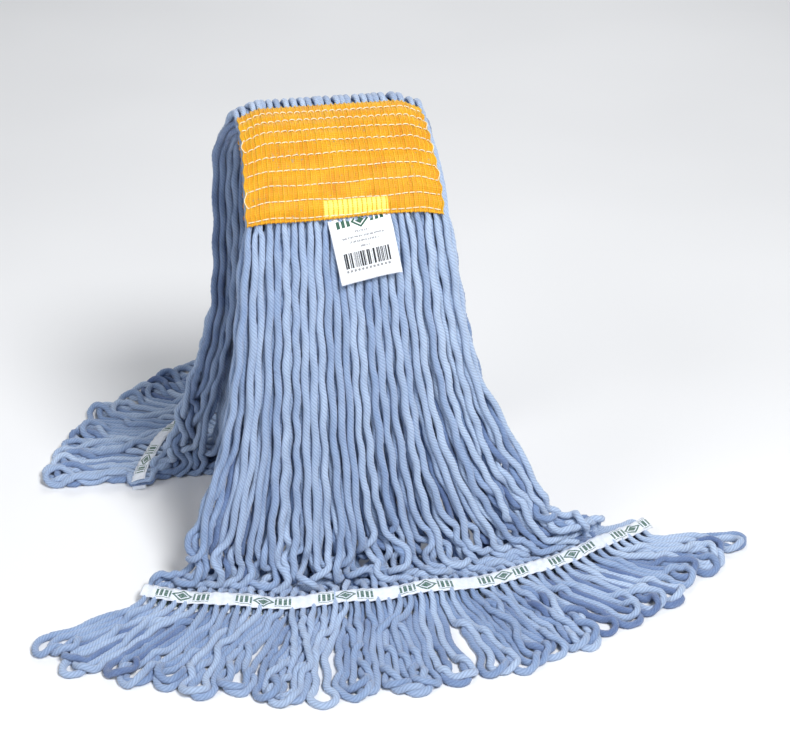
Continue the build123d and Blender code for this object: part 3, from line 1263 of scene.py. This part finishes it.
    def build(self, tree: StrandTree, finish: Material) -> list[Piece]:
        """Spins the strands into one piece for each lock of the skirt.

        Args:
            tree: The strand tree.
            finish: The yarn's material.

        Returns:
            The pieces, from the left.
        """
        lines = self.settled()
        radius = self.diameter / 2
        sizes = strand_sizes(radius, lead=0.0205, spacing=0.0022, depth=0.08, sides=12, rough=0.0014)
        pieces = []
        for lock in range(self.lock_count):
            low, high = (int(self.columns * k / self.lock_count) for k in (lock, lock + 1))
            chosen = [line for column, line in lines if low <= column < high]
            piece = tree.spin(f"{self.name}_yarn_{lock + 1}", chosen, finish, sizes)
            self._dress(piece, lock + 1)
            pieces.append(piece)
        return pieces

    def _dress(self, piece: Piece, number: int) -> None:
        """Hides the imported parts that a piece replaces and bakes its place into its mesh.

        Args:
            piece: The piece.
            number: Its lock's number.
        """
        low = {Side.FRONT: self.drape.hem, Side.BACK: self.drape.overlap}[self.side]
        start = self.drape.at(0.0, low, 0.0)
        nodes = [f"{self.name}_lock_{number}", f"{self.name}_fringe_{number}"]
        if self.side is Side.FRONT:
            nodes.append(f"crown_lock_{number}")
        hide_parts(*nodes)
        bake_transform(piece)


# ---------------------------------------------------------------- headband


@dataclass
class Headband:
    """The knitted headband: two panels sewn through the yarn in rows."""

    drape: Drape
    wale_pitch: float = 0.0036
    weft_pitch: float = 0.0017
    row_inset: float = 0.003
    row_pitch: float = 0.0127
    row_count: int = 9
    puff: float = 0.0010
    inner_depth: float = 0.0183
    thickness: float = 0.0006
    stitch: float = 0.0056
    stitch_lift: float = 0.0014

    def __post_init__(self) -> None:
        """Reads the headband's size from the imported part."""
        low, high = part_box("headband_outer_panel")
        self.half = (high.x - low.x) / 2
        self.length = self.drape.overlap - self.drape.hem

    def _puffed(self, across: Array, arc: Array) -> Array:
        """Gives how far the cloth stands out between its rows of stitches."""
        phase = (arc - self.drape.hem - self.row_inset) / self.row_pitch
        pillow = np.sin(math.pi * np.clip(phase, 0, self.row_count - 0.1)) ** 2
        strands = 0.00025 * np.sin(TAU * across / 0.00585)
        broad = 0.0004 * np.sin(across / 0.017 + 3 * arc / 0.03)
        fine = 0.0003 * np.sin(across / 0.0071 + arc / 0.011)
        return self.puff * pillow * (1 + 0.25 * np.sin(across / 0.011)) + strands + (broad + fine) * pillow

    def _edge(self, across: Array, arc: Array) -> Array:
        """Draws the side edges in at the rows and lets them bulge between."""
        phase = (arc - self.drape.hem - self.row_inset) / self.row_pitch
        share = np.abs(across) / self.half
        return across - np.sign(across) * 0.0012 * share**6 * np.cos(math.pi * phase) ** 2

    def outer(self, across: Array, arc: Array, lift: float = 0.0) -> Array:
        """Finds points over the outer panel.

        Args:
            across: The distance from the headband's middle.
            arc: The distance round the saddle.
            lift: How far above the cloth's middle.

        Returns:
            The points.
        """
        across, arc = np.broadcast_arrays(np.asarray(across, float), np.asarray(arc, float))
        sway = 0.0009 * np.sin(across / 0.021) * smooth(0.02, 0.0, arc - self.drape.hem)
        depth = 0.0009 - self._puffed(across, arc) - lift
        return self.drape.at(self._edge(across, arc), arc + sway, depth)

    def inner(self, across: Array, arc: Array, lift: float = 0.0) -> Array:
        """Finds points under the inner panel, which lies against the support."""
        across, arc = np.broadcast_arrays(np.asarray(across, float), np.asarray(arc, float))
        depth = self.inner_depth + lift + 0.3 * self._puffed(across, arc)
        return self.drape.at(self._edge(across, arc), arc, depth)

    def _panel(self, name: str, surface: object, finish: Material) -> Piece:
        """Makes one panel's ground cloth."""
        across = np.linspace(-self.half, self.half, 101)
        arc = np.linspace(self.drape.hem, self.drape.overlap, 81)
        grid = surface(across[None, :], arc[:, None])
        flat = np.stack(np.meshgrid(across, arc), -1)
        made = cloth(name, grid, flat, self.thickness, finish)
        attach(made, "headband")
        return made

    def _wales(self, name: str, surface: object, tree: StrandTree, finish: Material) -> Piece:
        """Makes one panel's knitted ribs, which run round the saddle."""
        count = int(2 * self.half / self.wale_pitch)
        arc = np.linspace(self.drape.hem - 0.0004, self.drape.overlap + 0.0004, 40)
        rng = np.random.default_rng(11)
        places = np.linspace(-self.half + 0.0006, self.half - 0.0006, count)
        lines = []
        for place in places:
            wander = 0.0001 * np.sin(arc / 0.009 + rng.uniform(0, 6))
            plump = 1 + 0.08 * rng.normal(0, 1, 40).clip(-1, 1)
            lines.append(Line(surface(place + wander, arc, 0.0005), plump))
        sizes = strand_sizes(0.00078, lead=0.006, spacing=0.0018, depth=0.08, sides=8)
        made = tree.spin(name, lines, finish, sizes)
        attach(made, "headband")
        return made

    def _wefts(self, name: str, surface: object, tree: StrandTree, finish: Material) -> Piece:
        """Makes one panel's weft threads, which are laid in across the ribs."""
        count = int(self.length / self.weft_pitch)
        across = np.linspace(-self.half, self.half, 77)
        rng = np.random.default_rng(12)
        places = np.linspace(self.drape.hem + 0.0006, self.drape.overlap - 0.0006, count)
        lines = [Line(surface(across, place + 0.00015 * np.sin(across / 0.006 + rng.uniform(0, 6)), 0.00022))
                 for place in places]
        sizes = strand_sizes(0.00036, lead=0.004, spacing=0.0026, depth=0.0, sides=4)
        made = tree.spin(name, lines, finish, sizes)
        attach(made, "headband")
        return made

    def _row(self, number: int, rng: np.random.Generator) -> tuple[Array, Array]:
        """Gives one row of stitches as distances across and round, a little wavy."""
        across = np.arange(-self.half + 0.0012, self.half - 0.0012, 0.0007)
        arc = self.drape.hem + self.row_inset + self.row_pitch * number
        broad = 0.0006 * np.sin(across / 0.019 + rng.uniform(0, 6))
        fine = 0.0003 * np.sin(across / 0.006 + rng.uniform(0, 6))
        return across, arc + (broad + fine)

    def _rows(self, surface: object, seed: int, lift: float) -> list[Line]:
        """Makes one panel's rows of stitches, each stitch diving into the cloth at its ends."""
        rng = np.random.default_rng(seed)
        lines = []
        for number in range(self.row_count):
            across, arc = self._row(number, rng)
            phase = across / (self.stitch * rng.uniform(0.94, 1.06)) + rng.uniform(0, 1)
            dive = np.abs(np.cos(math.pi * phase)) ** 9
            place = surface(across, arc, lift)
            sunk = surface(across, arc, lift - 0.0019)
            lines.append(Line(place + (sunk - place) * dive[:, None], 1.0))
        return lines

    def _turns(self) -> list[Line]:
        """Makes the lines of thread that join some rows at the side edges."""
        lines = []
        for sign, number in ((-1, 5), (1, 4), (1, 2), (1, 6), (-1, 1)):
            low = self.drape.hem + self.row_inset + self.row_pitch * number
            arc = np.linspace(low, low + self.row_pitch, 16)
            bow = self.half - 0.0012 + 0.0010 * np.sin(np.linspace(0, math.pi, 16))
            lines.append(Line(self.outer(sign * bow, arc, 0.0009), 0.9))
        return lines

    def build(self, tree: StrandTree) -> list[Piece]:
        """Builds the panels, their knit and their stitches.

        Args:
            tree: The strand tree.

        Returns:
            The pieces.
        """
        ground, wale, weft = (KnitFinish(part).material() for part in KnitPart)
        thread = ThreadFinish().material()
        pieces = []
        for name, surface, node in (("outer", self.outer, "headband_outer_panel"),
                                    ("inner", self.inner, "headband_inner_panel")):
            panel = self._panel(f"headband_{name}_cloth", surface, ground)
            wales = self._wales(f"headband_{name}_wales", surface, tree, wale)
            wefts = self._wefts(f"headband_{name}_wefts", surface, tree, weft)
            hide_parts(node)
            pieces += [panel, wales, wefts]
        sizes = strand_sizes(0.00046, lead=0.003, spacing=0.0007, depth=0.12, sides=6)
        over = self._rows(self.outer, 21, self.stitch_lift) + self._turns()
        needle = tree.spin("needle_stitches", over, thread, sizes)
        bobbin = tree.spin("bobbin_stitches", self._rows(self.inner, 22, self.stitch_lift), thread, sizes)
        for made, node in ((needle, "needle_thread_rows"), (bobbin, "bobbin_thread_rows")):
            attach(made, "headband")
            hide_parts(node)
            pieces.append(made)
        return pieces


# ---------------------------------------------------------------- tail tapes


@dataclass
class TailTape:
    """A woven tape sewn over and under the strands where a skirt ends and its fringe of loops begins."""

    name: str
    line: TapeLine
    strand_pitch: float
    seed: int
    thickness: float = 0.0004
    stack: float = 0.0112
    stitch: float = 0.0032
    inset: float = 0.0016

    def _surface(self, share: Array, across: Array, upper: bool, lift: float = 0.0) -> Array:
        """Finds points on one ply.

        Args:
            share: The share of the tape's length.
            across: The distance from the tape's middle, outward positive.
            upper: Whether it is the upper ply.
            lift: How far outside the ply.

        Returns:
            The points.
        """
        share, across = np.broadcast_arrays(share, across)
        rng = np.random.default_rng(self.seed)
        length = self.line.arc.length()
        run = share * length
        creases = 0.0
        for _ in range(5):
            size = rng.uniform(0.3, 1)
            place = run / rng.uniform(0.004, 0.02) + across / rng.uniform(0.004, 0.012)
            creases = creases + size * np.sin(place + rng.uniform(0, 6))
        ride = np.sin(math.pi * run / self.strand_pitch) ** 2
        weave_way = 0.0011 * np.sin(run / 0.037 + self.seed) + 0.0006 * np.sin(run / 0.0143 + 2 * self.seed)
        place = self.line.arc.at(share, across + weave_way)
        edge = (np.abs(across) / (self.line.width / 2)) ** 2
        if upper:
            height = self.line.height(share, across) - 0.0007 * ride + 0.00022 * creases
            height = height - 0.0008 * edge + lift
        else:
            height = self.line.height(share, 0.5 * across) - self.stack + 0.0004 * ride + 0.0004 * edge - lift
            height = np.maximum(height, 0.0004)
        return np.concatenate([place, height[..., None]], -1)

    def _ply(self, upper: bool, finish: Material) -> Piece:
        """Makes one ply of the tape."""
        length = self.line.arc.length()
        share = np.linspace(-0.004, 1.004, 500)
        across = np.linspace(-self.line.width / 2, self.line.width / 2, 9)
        grid = self._surface(share[:, None], across[None, :], upper)
        flat = np.stack(np.broadcast_arrays(share[:, None] * length, -across[None, :]), -1)
        if (self.line.arc.turn[1] > self.line.arc.turn[0]) == upper:
            grid, flat = grid[:, ::-1], flat[:, ::-1]
        name = f"{self.name}_tape_{'upper' if upper else 'lower'}_ply"
        return cloth(name, grid, flat, self.thickness, finish)

    def build(self, tree: StrandTree, finish: Material, thread: Material) -> list[Piece]:
        """Builds both plies and their stitches.

        Args:
            tree: The strand tree.
            finish: The tape's material.
            thread: The thread's material.

        Returns:
            The pieces.
        """
        upper, lower = (self._ply(u, finish) for u in (True, False))
        length = self.line.arc.length()
        share = np.linspace(0.0, 1.0, int(length / 0.0005))
        lines = []
        for across in (-self.line.width / 2 + self.inset, self.line.width / 2 - self.inset):
            dive = np.abs(np.cos(math.pi * share * length / self.stitch)) ** 7
            place = self._surface(share, np.full_like(share, across), True, 0.0004)
            place[:, 2] -= 0.0009 * dive
            lines.append(Line(place))
        sizes = strand_sizes(0.00034, lead=0.002, spacing=0.0006, depth=0.0, sides=5)
        stitches = tree.spin(f"{self.name}_tape_stitches", lines, thread, sizes)
        body = f"{self.name}_skirt"
        for made, node, slot in ((upper, "upper", "tail_tape"), (lower, "lower", "tail_tape"),
                                 (stitches, "thread", "stitching_thread")):
            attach(made, body)
            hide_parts(f"{self.name}_tape_{node}")
        return [upper, lower, stitches]


# ---------------------------------------------------------------- paper tag


@dataclass
class PaperTag:
    """The paper tag that hangs from the headband's hem, with a tab of it showing through the knit."""

    headband: Headband
    width: float = 0.050
    length: float = 0.048
    cut_length: float = 0.058
    tuck: float = 0.0040
    tilt: float = 10.0
    thickness: float = 0.0003
    tab_height: float = 0.0145
    tab_lead: float = 0.003
    gap: float = 0.0009
    tab_start: float = 0.0014

    def _board(self, across: Array, down: Array) -> Array:
        """Finds points on the hanging tag, which curls a little at its corners.

        Args:
            across: The distance from its middle.
            down: The distance from its top edge.

        Returns:
            The points.
        """
        low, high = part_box("label")
        hinge = joint_point("label_swing")
        middle = (low.x + high.x) / 2
        lean = math.atan2(high.y - low.y - 0.0006, high.z - low.z)
        tilt = math.radians(self.tilt)
        x = across * math.cos(tilt) + (down - self.length / 2) * math.sin(tilt)
        z = (across - self.width / 2) * math.sin(tilt) - down * math.cos(tilt)
        side = (across / (self.width / 2)) ** 2
        curl = 0.0016 * side * (0.3 + down / self.length) + 0.0028 * smooth(0.7, 1.0, down / self.length) ** 2
        wave = 0.0004 * np.sin(across / 0.007 + down / 0.02)
        bow = 0.002 * np.sin(math.pi * down / self.length)
        out = self.gap + curl + wave + bow - self.tuck * smooth(-0.0085, -0.0015, z)
        place = hinge[1] - out + z * math.sin(lean)
        return np.stack([middle + x, place, hinge[2] + z * math.cos(lean)], -1)

    def build(self) -> list[Piece]:
        """Builds the hanging tag and the tab under the knit.

        Returns:
            The pieces.
        """
        across = np.linspace(-self.width / 2, self.width / 2, 25)
        top = -(self.width / 2 - across) * math.tan(math.radians(self.tilt)) - 0.0012
        down = top[None, :] + (self.length - top[None, :]) * np.linspace(0, 1, 40)[:, None]
        grid = self._board(np.broadcast_to(across[None, :], down.shape), down)
        flat = np.stack(np.broadcast_arrays(across[None, :], down), -1)
        tag = cloth("paper_tag", grid[:, ::-1], flat[:, ::-1], self.thickness, PaperFinish().material())
        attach(tag, "label")
        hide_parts("label")
        hem = self.headband.drape.hem
        low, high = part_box("label")
        top_shift = self.length / 2 * math.sin(math.radians(self.tilt)) + self.tab_lead
        middle = (low.x + high.x) / 2 - top_shift - self.headband.drape.centre[0]
        across = np.linspace(-self.width / 2, self.width / 2, 40) + middle
        arc = np.linspace(hem + self.tab_start, hem + self.tab_height, 14)
        grid = self.headband.outer(across[None, :], arc[:, None], 0.00052)
        flat = np.stack(np.broadcast_arrays(across[None, :], arc[:, None]), -1)
        finish = PaperFinish("tag_tab_paper", False, linear(255, 232, 120), linear(250, 214, 84)).material()
        tab = cloth("paper_tag_tab", grid, flat, self.thickness, finish)
        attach(tab, "headband")
        return [tag, tab]


# ---------------------------------------------------------------- studio


@dataclass(frozen=True)
class Studio:
    """A pale floor, soft light and the camera."""

    azimuth: float = -9.7
    elevation: float = 30.0
    distance: float = 1.615
    target: tuple[float, float, float] = (0.054, 0.0, 0.144)
    lens: float = 82.85

    def build(self, drape: Drape) -> None:
        """Builds the floor, the light and the camera.

        Args:
            drape: The saddle, whose middle the camera's target is measured from.
        """
        mesh = bpy.data.meshes.new("studio_floor")
        size = 6.0
        corners = [(-size, -size, 0), (size, -size, 0), (size, size, 0), (-size, size, 0)]
        mesh.from_pydata(corners, [], [(0, 1, 2, 3)])
        tree = ShaderTree("studio_floor")
        tone = tree.ramp(tree.noise(2.0, 2), [(0.3, linear(232, 233, 235)), (0.7, linear(238, 239, 241))])
        mesh.materials.append(tree.surface(tone, {"Roughness": 0.85}))
        linked("studio_floor", mesh)
        world = bpy.data.worlds.new("studio_air")
        world.use_nodes = True
        world.node_tree.nodes["Background"].inputs["Color"].default_value = (0.93, 0.96, 1.0, 1)
        world.node_tree.nodes["Background"].inputs["Strength"].default_value = 0.2
        bpy.context.scene.world = world
        self._light("key", (0.55, -1.5, 2.0), 0.7, 62)
        self._light("fill", (-1.6, -1.0, 1.3), 1.2, 15)
        self._light("rim", (0.4, 1.8, 1.7), 1.2, 16)
        a, e = math.radians(self.azimuth), math.radians(self.elevation)
        back = Vector((math.sin(a) * math.cos(e), -math.cos(a) * math.cos(e), math.sin(e)))
        camera = bpy.data.objects.new("camera", bpy.data.cameras.new("camera"))
        camera.data.lens = self.lens
        camera.data.sensor_width = 36.0
        camera.data.clip_start = 0.01
        aim = Vector(self.target) + Vector((drape.centre[0], drape.centre[1], 0))
        camera.location = aim + back * self.distance
        camera.rotation_mode = "QUATERNION"
        camera.rotation_quaternion = (-back).to_track_quat("-Z", "Y")
        bpy.context.scene.collection.objects.link(camera)
        bpy.context.scene.camera = camera
        bpy.context.scene.view_settings.view_transform = "Standard"

    @staticmethod
    def _light(name: str, place: tuple[float, float, float], size: float, power: float) -> None:
        """Adds one soft light that faces the mop.

        Args:
            name: Its name.
            place: Where it stands.
            size: Its width.
            power: Its power in watts.
        """
        data = bpy.data.lights.new(name, "AREA")
        data.shape = "DISK"
        data.size = size
        data.energy = power
        light = bpy.data.objects.new(name, data)
        light.location = place
        light.rotation_mode = "QUATERNION"
        light.rotation_quaternion = (Vector((0, 0, 0.1)) - Vector(place)).to_track_quat("-Z", "Y")
        bpy.context.scene.collection.objects.link(light)


def report(pieces: list[Piece]) -> None:
    """Logs each piece with its number of faces."""
    for piece in pieces:
        LOG.info("%s: %d faces", piece.name, len(piece.data.polygons))


def main() -> None:
    """Builds the mop in order: studio, yarn, headband, tapes and tag."""
    logging.basicConfig(level=logging.INFO, format="%(name)s: %(message)s")
    drape = Drape.from_frame()
    Studio().build(drape)
    origin = (drape.centre[0], drape.centre[1])
    front = TapeLine(FloorArc((-182, -101), (45, -143), (272, -75), origin), 0.13)
    back = TapeLine(FloorArc((-177, 76), (0, 232), (140, 172), origin), 0.61)
    front_tips = FloorArc((-288, -156), (36, -266), (366, -92), origin)
    back_tips = FloorArc((-272, 66), (-30, 322), (160, 262), origin)
    tree = StrandTree("twisted_strands")
    yarn = YarnFinish().material()
    report(YarnSkirt("front", Side.FRONT, drape, front, front_tips, 0.040, 0.4, 3).build(tree, yarn))
    report(YarnSkirt("back", Side.BACK, drape, back, back_tips, 0.026, 0.62, 5, 6).build(tree, yarn))
    headband = Headband(drape)
    report(headband.build(tree))
    tape = TapeFinish().material()
    thread = ThreadFinish("tape_thread", linear(214, 222, 234), linear(244, 247, 252)).material()
    for name, line, seed in (("front", front, 31), ("back", back, 32)):
        pitch = line.arc.length() / 52
        report(TailTape(name, line, pitch, seed).build(tree, tape, thread))
    report(PaperTag(headband).build())


if __name__ == "__main__":
    main()
